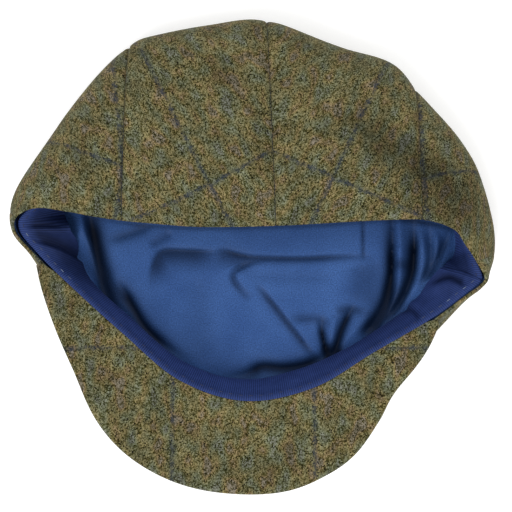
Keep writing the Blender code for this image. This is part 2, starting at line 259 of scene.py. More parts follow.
# The ribbon's folds in the same way, with painted shade in their creases
RIBBON_FOLDS = tuple(Fold(*row) for row in (
    (((14, 234), (30, 243), (44, 247), (58, 252), (72, 262), (82, 270), (98, 282)), 1.6, 1, 3.4, 0),
    (((18, 230), (34, 240), (48, 243), (60, 247), (73, 257), (84, 265), (98, 278)), -1.4, 2.2, 1, 0.6),
    (((18, 227), (34, 225), (46, 225), (62, 227)), -1.1, 1.4, 1.4, 0.7),
    (((22, 231), (42, 230), (70, 234)), 0.9, 1.8, 1.8, 0),
    (((24, 235), (38, 235), (50, 238), (66, 244)), -0.7, 1.2, 1.2, 0.5),
    # Painted shade alone over the ribbon's left end, which lies in shadow
    (((12, 214), (46, 216), (82, 224)), 0, 7, 7, 0.68),
    (((30, 232), (56, 236), (80, 252)), 0, 5, 5, 0.45),
    (((432, 286), (441, 280), (449, 277), (457, 279), (463, 285), (467, 298)), -1.6, 1.6, 1.6, 0.75),
    (((428, 296), (444, 286), (454, 287), (461, 298)), 1.4, 3.2, 3.2, 0),
    (((446, 262), (459, 271), (474, 286)), 0.9, 2.6, 2.6, 0),
    # Painted shade alone at the ribbon's right end
    (((464, 250), (472, 262), (480, 276)), 0, 5, 5, 0.55),
    (((402, 314), (414, 311), (421, 324)), -1, 1.4, 1.4, 0.55),
    (((408, 306), (424, 307), (432, 318)), 0.8, 2.2, 2.2, 0),
    # Painted shade alone over the ribbon's two ends, which lie in shadow
    (((4, 218), (24, 232), (44, 244), (66, 258), (86, 274), (112, 300)), 0, 8, 8, 0.76),
    (((496, 258), (474, 270), (456, 282), (430, 300)), 0, 8, 8, 0.45),
))
LINING_LIFT = 0.0042

# Hollows of the crown's roof, in the same way, with painted shade over them; the rows of no
# height are painted shade alone, for broad shadows on the roof
CROWN_FOLDS = tuple(Fold(*row) for row in (
    (((318, 104), (345, 116), (372, 132), (400, 152), (430, 168), (455, 186), (466, 206)),
     -2, 6.5, 7.5, 0.5),
    (((346, 114), (376, 134), (402, 156), (430, 172), (455, 190), (468, 214), (474, 256)), 0, 7, 8.5, 0.62),
    (((396, 196), (424, 196), (450, 208), (470, 240)), 0, 11, 8, 0.55),
    (((82, 118), (84, 152), (82, 188)), -1, 6, 6, 0.28),
    (((192, 64), (230, 76), (260, 86)), -0.8, 5, 6, 0.18),
    (((266, 92), (262, 146), (268, 180)), 0, 7, 7, 0.18),
))

# Navy lines on the panels that show: a line from one pixel to another, and a pixel on the
# line that crosses it
SeenLines = namedtuple("SeenLines", "panel start end crossing")
SEEN_LINES = (
    SeenLines(1, (218, 202), (160, 87), (247, 165)),
    SeenLines(2, (116, 212), (123, 150), (90, 154)),
    SeenLines(7, (411, 212), (418, 160), (455, 171)),
    SeenLines(8, (320, 203), (353, 133), (293, 160)),
)

# The other panels: where two navy lines cross, from the middle of the rim, and how far the
# lines are turned from the panel's middle line
Grain = namedtuple("Grain", "panel across up turn")
HIDDEN_LINES = (
    Grain(3, 0.0100, 0.0200, -22.0),
    Grain(4, -0.0050, 0.0300, 24.0),
    Grain(5, 0.0080, 0.0250, -24.0),
    Grain(6, 0.0100, 0.0200, 22.0),
)
NEAREST_PIXEL = 0.2
NEARNESS_POWER = -4.0
CHECK_PITCH = 0.078
CROSS_PITCH = 0.102
RIB_PITCH = 0.00122
PEAK_LINE_X = -0.0437
PEAK_LINE_Y = -0.0520

# Slow noise by its scale across and down, the slice that it is read from and its height in
# metres. The crown's fades out where the cloth settles on the floor.
Swell = namedtuple("Swell", "across down slice height")
CROWN_SWELLS = (Swell(14, 14, 3.1, 0.0011), Swell(38, 38, 7.7, 0.0005))
LINING_SWELLS = (Swell(22, 22, 11.0, 0.0016), Swell(70, 50, 4.0, 0.0003))
RIBBON_SWELL = Swell(45, 1.4, 2.0, 0.0007)
PEAK_SWELL = Swell(30, 30, 5.0, 0.0004)
SWELL_GROWTH = 1.3
SETTLE_START = 1.3
SETTLE_END = 1.95
HOLLOW_END = 1.15
HOLLOW_FADE = 0.30

# The tweed's rolled rim and its seams, with a painted shadow along each seam
RIM_ROLL = 0.0016
ROLL_OUTSIDE = 0.45
ROLL_INSIDE = 0.8
RIM_UNDER_PEAK = 0.0026
LEAST_CLOTH = 0.0004
SEAM_PINCH = 0.0009
PINCH_SPREAD = 0.0010
SEAM_SAG = 0.0006
SAG_SPREAD = 0.0055
SETTLED_GROOVE = 0.35
SEAM_SHADOW_SPREAD = 0.0008
PAINTED_SEAM_SHADOW = 0.55

# The ribbon's place and bow, its flared sewn edge and the painted shade along that edge
RIBBON_SET_IN = 0.0010
RIBBON_BOW = 0.0012
RIBBON_FLARE = 0.0014
FLARE_SHARE = 0.12
FOLD_GROWTH = 0.3
EDGE_SHADE = 0.34
EDGE_SHADE_SHARE = 0.22

# How far the lining is turned in, and the room that it has under the ribbon's free edge
LINING_TURN_IN = 0.0026
TURN_IN_UNDER_PEAK = 0.0020
TURN_IN_AT_TIPS = 0.0030
TIP_PLACES = (2.2, 5.95)
TIP_SPREAD = 0.25
UNDER_RIBBON = 0.0036
ROOM_SLOPE = 0.55
HIGHEST_FOLD = 0.0098
ROOM_EASE = 0.0008
REST_EASE = 0.0010
LINING_FADE_START = 1.5
LINING_FADE = 0.7

# How finely folds curve, how they fade out at their ends, how sharp their sections are and how
# much wider than a fold its painted shade spreads
PATH_STEPS = 8
FOLD_END_SHARE = 0.28
RIDGE_POWER = 2.0
CREASE_POWER = 1.4
SHADE_SPREAD = 1.35

# The peak's rounded edges and its lap over the crown
FRONT_ROUND = 0.0026
SEAM_ROUND = 0.0012
ROUND_SHARE = 0.46
SEAM_SINK = 0.0007
LAP_OVER = 0.0005
LAP_RUN = 0.0024
LAP_THICKNESS = 0.0014

# The stitches, and the two runs of places where pale ones catch the eye
STITCH_PITCH = 0.0056
STITCH_LENGTH = 0.0026
STITCH_STAND = 0.00005
STITCH_ROW = 2
THREAD_RADIUS = 0.00022
PALE_STITCHES = ((2.05, 2.15, 2.42, 2.55), (5.35, 5.45, 5.72, 5.80))
PALEST = 0.95
DULL_SHARE = 0.25
DULL_BELOW = -0.08
STITCH_CHANCE = Swell(1.37, 1, 0.5, 1)

# How closely mesh rows crowd towards seams and edges
ROOF_CROWDING = 0.6
SEAM_CROWDING = 0.80
PEAK_SIDE_CROWDING = 0.35
PEAK_EDGE_CROWDING = 0.75
FLOOR_CROWDING = 1.25

ROUNDING = 1e-9
SAME_PLACE = 1e-6
HALVINGS = 22
SHARP_DEGREES = 60

# The tweed's pattern: its yarns by their place in a ramp, noise by its scale, lines in metres
YARNS = (
    (0.06, 0.083, 0.086, 0.060),
    (0.22, 0.082, 0.088, 0.048),
    (0.38, 0.091, 0.088, 0.042),
    (0.50, 0.096, 0.086, 0.038),
    (0.62, 0.104, 0.088, 0.034),
    (0.76, 0.112, 0.083, 0.037),
    (0.90, 0.094, 0.081, 0.052),
)
WOOL_SCALE = 1820.0
FUZZ_SCALE = 2200.0
DRIFT_SCALE = 120.0
CLOUD_SCALE = 70.0
PATCH_SCALE = 170.0
LINE_CORE = 0.0004
LINE_EDGE = 0.0018
LINE_FRAY = 0.0016
NAVY = (0.018, 0.025, 0.040, 1.0)

# The blues of the satin, the ribbon and the thread in the same way, and their noise
SATIN_BLUES = ((0.30, 0.0240, 0.061, 0.181), (0.70, 0.0365, 0.087, 0.238))
RIBBON_BLUES = ((0.15, 0.0070, 0.0150, 0.060), (0.85, 0.0450, 0.0800, 0.270))
THREAD_BLUES = ((0.0, 0.006, 0.011, 0.050), (1.0, 0.130, 0.170, 0.260))
SATIN_CLOUD_SCALE = 30.0
RIBBON_CLOUD_SCALE = 120.0
WEAVE_SCALE = 1500.0
TWIST_SCALE = 2500.0

# The stage, with a floor that glows with painted light of its own, which clears the cap's shadow
# from it and lights the cap from below
FLOOR_REACH = 3.0
FLOOR_GLOW = 0.22
SKY_STRENGTH = 0.80
SENSOR_WIDTH = 36.0
Light = namedtuple("Light", "name place size power")
LIGHTS = (
    Light("key_light", (-0.5, -0.9, 1.3), 0.9, 19.0),
    Light("fill_light", (0.7, 0.7, 1.4), 0.9, 7.0),
)

# Mesh counts for each piece
PANEL_COLUMNS = 52
PANEL_ROOF_ROWS = 46
PANEL_FOLD_ROWS = 16
PANEL_FLOOR_ROWS = 12
LINING_COLUMNS = 48
LINING_ROOF_ROWS = 10
LINING_FOLD_ROWS = 12
LINING_FLOOR_ROWS = 102
RIBBON_COLUMNS = 96
RIBBON_ROWS = 26
PEAK_COLUMNS = 44
PEAK_ROWS = 34


def blend(rows, column, at, period=None):
    """A smooth curve through one column of a table, round a loop when it has a period."""
    count = len(rows)
    if period:
        at = at % period
        index = max(i for i in range(count) if rows[i].at <= at + ROUNDING)
    else:
        index = max(i for i in range(count - 1) if rows[i].at <= at + ROUNDING or i == 0)

    def knot(i):
        if period:
            turn, i = divmod(i, count)
            return rows[i].at + turn * period, getattr(rows[i], column)
        i = min(max(i, 0), count - 1)
        return rows[i].at, getattr(rows[i], column)

    def slope(i):
        before, after = knot(i - 1), knot(i + 1)
        return (after[1] - before[1]) / (after[0] - before[0])

    start, end = knot(index), knot(index + 1)
    width = end[0] - start[0]
    t = (at - start[0]) / width
    rise = slope(index) * width
    fall = slope(index + 1) * width
    return (
        start[1] * (1 + 2 * t) * (1 - t) ** 2
        + rise * t * (1 - t) ** 2
        + end[1] * t * t * (3 - 2 * t)
        - fall * t * t * (1 - t)
    )


def eased(share):
    return share * share * (3 - 2 * share)


def smooth_step(low, high, value):
    return eased(min(max((value - low) / (high - low), 0.0), 1.0))


def uneven(swell, x, y, z=0.0):
    """Smooth noise at a place, from about minus its height to its height."""
    place = Vector((x * swell.across, y * swell.down, z * swell.across + swell.slice))
    return noise.noise(place) * swell.height


def bezier(p0, p1, p2, p3, t):
    s = 1 - t
    return p0 * s ** 3 + p1 * (3 * s * s * t) + p2 * (3 * s * t * t) + p3 * t ** 3


@lru_cache(maxsize=None)
def section(place):
    """The control points of the crown's roof and fold at one place round the mouth."""
    value = {name: blend(SECTIONS, name, place, PANELS) for name in Section._fields[1:]}
    sizes = (("x", HALF_WIDTH), ("y", HALF_LENGTH), ("z", CROWN_HEIGHT))
    rim = Vector([value[f"edge_{axis}"] * size for axis, size in sizes])
    outline = Vector([value[f"fold_{axis}"] * size for axis, size in sizes])
    lean = math.radians(value["lean"])
    down = Vector((0.0, 0.0, -1.0))
    level = Vector((outline.x - rim.x, outline.y - rim.y, 0.0)).normalized()
    distance = (outline - rim).length
    roof_leave = rim + (level * math.cos(lean) + down * math.sin(lean)) * distance * ROOF_LEAD
    roof_arrive = outline - down * distance * FOLD_LEAD
    middle = Vector((0.0, CROWN_MIDDLE_SET_BACK, 0.0))
    foot = Vector((outline.x, outline.y, 0.0))
    inward = (middle - foot).normalized()
    landing = foot + inward * FLOOR_ROUND
    fold_leave = outline + down * outline.z * ROUND_LEAD
    fold_arrive = landing - inward * FLOOR_ROUND * ROUND_LEAD
    roof = (rim, roof_leave, roof_arrive, outline)
    fold = (outline, fold_leave, fold_arrive, landing)
    return roof, fold, middle


def crown_point(place, run):
    """A point on the crown's outer face: run 0 rim, 1 outline, 2 floor, 3 middle."""
    roof, fold, middle = section(place)
    if run <= 1:
        return bezier(*roof, run)
    if run <= 2:
        return bezier(*fold, run - 1)
    return fold[3].lerp(middle, run - 2)


def crown_frame(place, run):
    """The point, the step along the rim for one unit of place and the inward normal."""
    point = crown_point(place, run)
    near = min(run, PANEL_POINT_RUN)
    along = (crown_point(place + STEP, near) - crown_point(place - STEP, near)) / (2 * STEP)
    if run >= 2:
        inside = Vector((0.0, 0.0, 1.0))
    else:
        low_run = max(run - STEP, 0.0)
        high_run = min(run + STEP, 2.0)
        over = crown_point(place, high_run) - crown_point(place, low_run)
        inside = along.cross(over).normalized()
    return point, along, inside


@lru_cache(maxsize=None)
def run_at_drop(place, drop):
    """The run at which the crown's outer face lies a given drop below its rim."""
    target = crown_point(place, 0.0).z - drop
    low, high = 0.0, 1.0
    for _ in range(HALVINGS):
        half = (low + high) / 2
        if crown_point(place, half).z > target:
            low = half
        else:
            high = half
    return low


def under_peak(place):
    """How fully a place lies under the peak's sewn edge, from 0 to 1."""
    start = smooth_step(PEAK_START - EASE_OUTSIDE, PEAK_START + EASE_INSIDE, place)
    end = smooth_step(PEAK_END - EASE_INSIDE, PEAK_END + EASE_OUTSIDE, place)
    return start * (1 - end)


def crowded(share, amount):
    """A share moved towards the nearer end of its run."""
    return share - amount * math.sin(2 * math.pi * share) / (2 * math.pi)


def cloth_runs(roof_rows, fold_rows, floor_rows):
    roof = [crowded(i / roof_rows, ROOF_CROWDING) for i in range(roof_rows)]
    fold = [1 + i / fold_rows for i in range(fold_rows)]
    floor = [2 + i / floor_rows for i in range(floor_rows)]
    return roof + fold + floor


def undulation(point):
    """The crown's own slow unevenness, in metres."""
    return sum(uneven(swell, *point) for swell in CROWN_SWELLS)


def settled(run):
    """How free the cloth is of the floor at a run, from 1 down to 0."""
    return 1 - smooth_step(SETTLE_START, SETTLE_END, run)


Frame = namedtuple("Frame", "point along inside run")


def grid_frames(columns, rows, start_of):
    """Crown frames for a grid whose first row starts at a given run."""
    frames = []
    for place in columns:
        start = start_of(place % PANELS)
        line = []
        for run in rows:
            moved = start + (1 - start) * run if run < 1 else run
            line.append(Frame(*crown_frame(place, moved), moved))
        frames.append(line)
    return frames


def gathered(frames, part):
    """One part of every frame in a grid, as an array."""
    return np.array([[getattr(frame, part) for frame in line] for line in frames])


def tweed_start(place):
    """The tweed's rim is lowered where the peak is sewn over it."""
    drop = under_peak(place) * RIM_UNDER_PEAK
    return run_at_drop(place, drop) if drop > 0 else 0.0


def lining_start(place):
    """The lining's edge is turned in behind the ribbon."""
    tips = sum(math.exp(-((place - tip) / TIP_SPREAD) ** 2) for tip in TIP_PLACES)
    deeper = max(under_peak(place) * TURN_IN_UNDER_PEAK, tips * TURN_IN_AT_TIPS)
    set_back = LINING_TURN_IN + deeper
    return set_back / (crown_point(place, 1.0) - crown_point(place, 0.0)).length


def make_sheet(name, outer, inner, coords, closed, material, painted_shade=None):
    """A closed sheet from two faces of the same grid, with its cloth coordinates as UVs and any painted
    shade in its crease layer.
    """
    width, height = outer.shape[:2]
    mesh = bmesh.new()
    bmesh.ops.create_grid(mesh, x_segments=width - 1, y_segments=height - 1, size=0.5)
    column_of = mesh.verts.layers.int.new("column")
    row_of = mesh.verts.layers.int.new("row")
    cloth_uv = mesh.loops.layers.uv.new("cloth")
    # The crease layer carries painted shade, which darkens the colour in folds, hollows and along seams
    crease = mesh.verts.layers.float.new("crease")
    for vert in mesh.verts:
        at = round((vert.co.x + 0.5) * (width - 1)), round((vert.co.y + 0.5) * (height - 1))
        vert[column_of], vert[row_of] = at
        vert.co = Vector(outer[at])
        if painted_shade is not None:
            vert[crease] = float(painted_shade[at])
        for loop in vert.link_loops:
            loop[cloth_uv].uv = Vector(coords[at])
    if closed:
        bmesh.ops.remove_doubles(mesh, verts=mesh.verts, dist=SAME_PLACE)
    grown = bmesh.ops.extrude_face_region(mesh, geom=mesh.faces[:], use_keep_orig=True)
    for vert in grown["geom"]:
        if isinstance(vert, bmesh.types.BMVert):
            vert.co = Vector(inner[vert[column_of], vert[row_of]])
    bmesh.ops.recalc_face_normals(mesh, faces=mesh.faces)
    return add_piece(name, mesh, material)


def add_object(name, data):
    thing = bpy.data.objects.new(name, data)
    bpy.context.scene.collection.objects.link(thing)
    return thing


def add_piece(name, mesh, material):
    data = bpy.data.meshes.new(name)
    mesh.to_mesh(data)
    mesh.free()
    data.materials.append(material)
    data.shade_smooth()
    data.set_sharp_from_angle(angle=math.radians(SHARP_DEGREES))
    piece = add_object(name, data)
    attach(piece, "root")
    return piece


def cloth_at(pixel, seen, right, above):
    """The cloth coordinates that show at a pixel, from the nearest points of a panel."""
    weight = (np.linalg.norm(seen - np.array(pixel), axis=-1) + NEAREST_PIXEL) ** NEARNESS_POWER
    weight /= weight.sum()
    return np.array([(right * weight).sum(), (above * weight).sum()])


def travelled(points):
    """How far each point is from the first along its run of points."""
    steps = np.linalg.norm(np.diff(points, axis=0), axis=-1)
    return np.concatenate([np.zeros_like(steps[:1]), np.cumsum(steps, axis=0)])


def panel_cloth(number, places):
    """Cloth coordinates of a panel, turned so that the navy lines cross at zero."""
    above = travelled(places.swapaxes(0, 1)).T
    across = travelled(places)
    right = across[places.shape[0] // 2] - across
    lines = {row.panel: row for row in SEEN_LINES + HIDDEN_LINES}[number]
    if isinstance(lines, SeenLines):
        roof = slice(0, PANEL_ROOF_ROWS + 1)
        seen = in_picture(places[:, roof])
        start, end, crossing = (
            cloth_at(pixel, seen, right[:, roof], above[:, roof])
            for pixel in (lines.start, lines.end, lines.crossing)
        )
        course = (end - start) / np.linalg.norm(end - start)
    else:
        start = crossing = np.array([lines.across, lines.up])
        course = np.array([math.sin(math.radians(lines.turn)), math.cos(math.radians(lines.turn))])
    first = (right - start[0]) * course[1] - (above - start[1]) * course[0]
    second = (right - crossing[0]) * course[0] + (above - crossing[1]) * course[1]
    return np.stack([first, second], axis=2)


def roof_hollows(places, runs):
    """How far the crown's roof is dented, below zero for a dent, and the painted shade laid on it."""
    height, painted_fold_shade = fold_relief(places, CROWN_FOLDS, CROWN_LEVEL)
    fade = np.clip((HOLLOW_END - runs) / HOLLOW_FADE, 0, 1)
    return height * fade, painted_fold_shade * fade


def make_crown_panel(number, material):
    """One crown panel, rolled in at its rim and drawn in along its seams."""
    steps = range(PANEL_COLUMNS + 1)
    columns = [number - 1 + crowded(i / PANEL_COLUMNS, SEAM_CROWDING) for i in steps]
    rows = cloth_runs(PANEL_ROOF_ROWS, PANEL_FOLD_ROWS, PANEL_FLOOR_ROWS) + [PANEL_POINT_RUN]
    frames = grid_frames(columns, rows, tweed_start)
    outer = np.zeros((len(columns), len(rows), 3))
    inner = np.zeros_like(outer)
    painted_shade = np.zeros(outer.shape[:2])
    base = gathered(frames, "point")
    dent, painted_fold_shade = roof_hollows(base, gathered(frames, "run"))
    for i, line in enumerate(frames):
        share = columns[i] - (number - 1)
        seam = SEAM_DEPTHS[(number - 1 if share < 0.5 else number) % PANELS]
        shift = SEAM_GAP / 2 * ((i == 0) - (i == PANEL_COLUMNS))
        for j, (point, along, inside, run) in enumerate(line):
            place = point + along.normalized() * shift
            to_seam = min(share, 1 - share) * along.length
            groove = SEAM_PINCH * math.exp(-(to_seam / PINCH_SPREAD) ** 2) * seam
            groove += SEAM_SAG * math.exp(-(to_seam / SAG_SPREAD) ** 2) * seam
            # a painted shadow along the seam, joined with the painted shade of the roof's hollows
            sewn = math.exp(-(to_seam / SEAM_SHADOW_SPREAD) ** 2) * PAINTED_SEAM_SHADOW * seam
            painted_shade[i, j] = 1 - (1 - sewn) * (1 - painted_fold_shade[i, j])
            free = settled(run)
            swell = undulation(point) * free - dent[i, j]
            from_rim = (point - line[0].point).length
            roll = max(0.0, 1 - from_rim / RIM_ROLL) ** 2 * ROLL_OUTSIDE
            groove *= SETTLED_GROOVE + (1 - SETTLED_GROOVE) * free
            outer_depth = TWEED_THICKNESS * roll + groove
            inner_depth = max(TWEED_THICKNESS * (1 - roll * ROLL_INSIDE), outer_depth + LEAST_CLOTH)
            outer[i, j] = place + inside * (outer_depth + swell)
            inner[i, j] = place + inside * (inner_depth + swell)
    coords = panel_cloth(number, base)
    name = f"crown_cloth_{number}"
    piece = make_sheet(name, outer, inner, coords, False, material, painted_shade)
    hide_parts(f"crown_panel_{number}")


def ribbon_base(place, share):
    """A point in the middle of the ribbon's thickness, at a share of its width."""
    point, _, inside = crown_frame(place, 0.0)
    depth = TWEED_THICKNESS + LAYER_GAP + RIBBON_SET_IN + LAYER_GAP + RIBBON_THICKNESS / 2
    sewn = point + inside * depth
    aim = math.radians(blend(RIBBON_RUN, "aim", place, PANELS))
    drop = math.radians(blend(RIBBON_RUN, "drop", place, PANELS))
    level = Vector((math.cos(aim), math.sin(aim), 0.0))
    run = level * math.cos(drop) - Vector((0.0, 0.0, math.sin(drop)))
    bow = level * math.sin(drop) + Vector((0.0, 0.0, math.cos(drop)))
    bend = math.sin(math.pi * share) * RIBBON_BOW
    return sewn + run * RIBBON_WIDTH * share + bow * bend


def make_ribbon(material):
    """The ribbon sweatband, sewn at the rim and free at its other edge."""
    count = PANELS * RIBBON_COLUMNS
    columns = [i / RIBBON_COLUMNS for i in range(count + 1)]
    rows = [i / RIBBON_ROWS for i in range(RIBBON_ROWS + 1)]
    centre = np.array([[ribbon_base(place, share) for share in rows] for place in columns])
    length = travelled(centre[:, 0])
    along = np.roll(centre[:-1], -1, axis=0) - np.roll(centre[:-1], 1, axis=0)
    along = np.concatenate([along, along[:1]])
    down = centre[:, -1:] - centre[:, :1]
    side = np.cross(along, np.broadcast_to(down, along.shape))
    side /= np.linalg.norm(side, axis=2, keepdims=True)
    relief, crease = fold_relief(centre, RIBBON_FOLDS, RIBBON_LEVEL)
    share = np.array(rows)[None, :]
    grown = np.clip(share / FOLD_GROWTH, 0, 1)
    flare = np.clip(1 - share / FLARE_SHARE, 0, 1) ** 2 * RIBBON_FLARE
    waves = np.array([
        [uneven(RIBBON_SWELL, float(length[i % count]), down_share) for down_share in rows]
        for i in range(count + 1)
    ])
    slack = np.sin(np.clip(share * SWELL_GROWTH, 0, 1) * math.pi / 2)
    off = relief * grown - flare + waves * slack
    outer = centre + side * (off - RIBBON_THICKNESS / 2)[:, :, None]
    inner = centre + side * (off + RIBBON_THICKNESS / 2)[:, :, None]
    coords = np.zeros((len(columns), len(rows), 2))
    coords[:, :, 0] = length[:, None]
    coords[:, :, 1] = share * RIBBON_WIDTH
    # painted shade along the sewn edge, joined with the painted shade of the ribbon's folds
    sewn_shade = EDGE_SHADE * np.exp(-(share / EDGE_SHADE_SHARE) ** 2)
    painted_shade = 1 - (1 - crease * grown) * (1 - sewn_shade)
    piece = make_sheet("ribbon_sweatband", outer, inner, coords, True, material, painted_shade)
    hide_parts("sweatband")
    return centre + side * off[:, :, None], side


def from_picture(across, down, level):
    """The point in plan that shows at a pixel of the picture, at a level above the floor."""
    scale = (CAMERA_PLACE[2] - level) / LENS_PIXELS
    middle = PICTURE_SIDE / 2
    return CAMERA_PLACE[0] + (across - middle) * scale, CAMERA_PLACE[1] - (down - middle) * scale


def in_picture(points):
    """The pixels at which points in the scene show."""
    scale = (CAMERA_PLACE[2] - points[..., 2]) / LENS_PIXELS
    middle = PICTURE_SIDE / 2
    across = middle + (points[..., 0] - CAMERA_PLACE[0]) / scale
    down = middle - (points[..., 1] - CAMERA_PLACE[1]) / scale
    return np.stack([across, down], axis=-1)


def smooth_path(points):
    """A fold's few points joined by a smooth curve."""
    ends = [points[0]] + list(points) + [points[-1]]
    path = []
    for a, b, c, d in zip(ends, ends[1:], ends[2:], ends[3:]):
        for i in range(PATH_STEPS):
            t = i / PATH_STEPS
            path.append(tuple(
                0.5 * (2 * b[k] + (c[k] - a[k]) * t
                       + (2 * a[k] - 5 * b[k] + 4 * c[k] - d[k]) * t * t
                       + (3 * b[k] - a[k] - 3 * c[k] + d[k]) * t ** 3)
                for k in (0, 1)
            ))
    path.append(tuple(points[-1]))
    return path


def fold_profile(plan, fold, level):
    """A fold's lift and its painted shade at many places in plan, fading out at its two ends."""
    path = smooth_path([from_picture(x, y, level) for x, y in fold.path])
    best = np.full(len(plan), 1e9)
    side = passed = np.zeros(len(plan))
    count = len(path) - 1
    for index in range(count):
        start = np.array(path[index])
        run = np.array(path[index + 1]) - start
        away = plan - start
        share = np.clip((away @ run) / (run @ run), 0, 1)
        distance = np.linalg.norm(away - share[:, None] * run, axis=1)
        turn = run[0] * away[:, 1] - run[1] * away[:, 0]
        nearer = distance < best
        best = np.where(nearer, distance, best)
        side = np.where(nearer, turn, side)
        passed = np.where(nearer, (index + share) / count, passed)
    spread = np.where(side > 0, fold.left, fold.right) * MILLIMETRE
    power = RIDGE_POWER if fold.height >= 0 else CREASE_POWER
    ends = eased(np.clip(np.minimum(passed, 1 - passed) / FOLD_END_SHARE, 0, 1))
    lift = np.exp(-(best / spread) ** power)
    # painted shade along the fold, spread a little wider than its lift
    shade = np.exp(-(best / spread / SHADE_SPREAD) ** 2)
    return lift * ends, shade * ends


def fold_relief(points, folds, level):
    """The height that folds give at many points, and the painted shade that their creases lay on each."""
    plan = points[..., :2].reshape(-1, 2)
    height = np.zeros(len(plan))
    painted_fold_shade = np.zeros(len(plan))
    for fold in folds:
        lift, shade = fold_profile(plan, fold, level)
        height += fold.height * MILLIMETRE * lift
        painted_fold_shade = 1 - (1 - painted_fold_shade) * (1 - fold.shade * shade)
    return height.reshape(points.shape[:-1]), painted_fold_shade.reshape(points.shape[:-1])


def soft_least(first, second, ease):
    """The lesser of two arrays, rounded over where they cross."""
    return (first + second - np.sqrt((first - second) ** 2 + ease ** 2)) / 2


def lining_relief(points, free_edge):
    """How far the lining stands off the crown's top, and the painted shade of its creases."""
    height, painted_fold_shade = fold_relief(points, LINING_FOLDS, LINING_LEVEL)
    height += LINING_LIFT
    for i, point in enumerate(points):
        height[i] += sum(uneven(swell, *point[:2]) for swell in LINING_SWELLS)
    gap = np.linalg.norm(points[:, None, :2] - free_edge[None, :, :2], axis=2)
    room = (free_edge[None, :, 2] - UNDER_RIBBON + ROOM_SLOPE * gap).min(axis=1)
    height = soft_least(height, np.minimum(room, HIGHEST_FOLD), ROOM_EASE)
    return -soft_least(-height, np.zeros(len(points)), REST_EASE), painted_fold_shade


def make_lining(material, ribbon_centre):
    """The satin lining with its creases and soft ridges, and painted shade in its creases."""
    columns = [i / LINING_COLUMNS for i in range(PANELS * LINING_COLUMNS + 1)]
    rows = cloth_runs(LINING_ROOF_ROWS, LINING_FOLD_ROWS, 0)
    rows += [2 + (i / LINING_FLOOR_ROWS) ** FLOOR_CROWDING for i in range(LINING_FLOOR_ROWS + 1)]
    frames = grid_frames(columns, rows, lining_start)
    base = gathered(frames, "point")
    run = gathered(frames, "run")
    # crease here is the painted shade of the lining's folds
    height, crease = lining_relief(base.reshape(-1, 3), ribbon_centre[:-1:4, -1])
    share = eased(np.clip((run - LINING_FADE_START) / LINING_FADE, 0, 1))
    height = height.reshape(run.shape) * share
    crease = crease.reshape(run.shape) * share
    height[-1] = height[0]
    height[:, -1] = height[:, -1].mean()
    swell = np.array([[undulation(frame.point) * settled(frame.run) for frame in line] for line in frames])
    depth = TWEED_THICKNESS + LAYER_GAP + height + swell - roof_hollows(base, run)[0]
    inside = gathered(frames, "inside")
    outer = base + inside * depth[:, :, None]
    inner = outer + inside * LINING_THICKNESS
    piece = make_sheet("satin_lining", outer, inner, base[:, :, :2], True, material, crease)
    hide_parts("lining")


def peak_frame(place):
    """The peak's sewn edge, its front edge and its reach at one place."""
    wall, _, inside = crown_frame(place, run_at_drop(place, PEAK_BELOW_RIM))
    aim = math.radians(blend(PEAK_EDGE, "aim", place))
    reach = max(blend(PEAK_EDGE, "reach", place), LEAST_REACH) * PEAK_DEPTH
    front = wall + Vector((math.cos(aim), math.sin(aim), 0.0)) * reach
    front.z += blend(PEAK_EDGE, "rise", place) * PEAK_RISE
    return wall, inside, front, reach


def make_peak(material):
    """The peak with its rounded front edge, sewn over the crown's lowered front rim."""
    span = PEAK_END - PEAK_START
    count = round(span * PEAK_COLUMNS)
    columns = [PEAK_START + span * crowded(i / count, PEAK_SIDE_CROWDING) for i in range(count + 1)]
    rows = [crowded(i / PEAK_ROWS, PEAK_EDGE_CROWDING) for i in range(PEAK_ROWS + 1)]
    upper = np.zeros((len(columns), len(rows), 3))
    lower = np.zeros_like(upper)
    for i, place in enumerate(columns):
        wall, inside, front, reach = peak_frame(place)
        lap = (TWEED_THICKNESS + LAYER_GAP + LAP_OVER) * under_peak(place)
        wall_low, _, inside_low = crown_frame(place, run_at_drop(place, PEAK_THICKNESS + PEAK_BELOW_RIM))
        sewn = wall + inside * (lap - LAYER_GAP)
        foot = wall_low - inside_low * LAYER_GAP
        front_low = front - Vector((0.0, 0.0, PEAK_THICKNESS))
        for j, share in enumerate(rows):
            top = sewn.lerp(front, share)
            base = foot.lerp(front_low, share)
            dish = PEAK_DISH * math.sin(math.pi * share) * reach / PEAK_DEPTH
            top.z -= dish
            base.z -= dish
            to_seam = share * reach
            rounded = PEAK_THICKNESS * ROUND_SHARE * max(0.0, 1 - (1 - share) * reach / FRONT_ROUND) ** 2
            sunk = SEAM_SINK * max(0.0, 1 - to_seam / SEAM_ROUND) ** 2
            swell = uneven(PEAK_SWELL, top.x, top.y)
            if to_seam < LAP_RUN:
                lapped = Vector((top.x, top.y, top.z - LAP_THICKNESS))
                base = lapped.lerp(base, to_seam / LAP_RUN)
            top.z += swell - rounded - sunk
            base.z += swell + rounded
            upper[i, j] = top
            lower[i, j] = base
    coords = upper[:, :, :2] - np.array([PEAK_LINE_X, PEAK_LINE_Y])
    piece = make_sheet("peak_cloth", upper, lower, coords, False, material)
    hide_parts("peak")


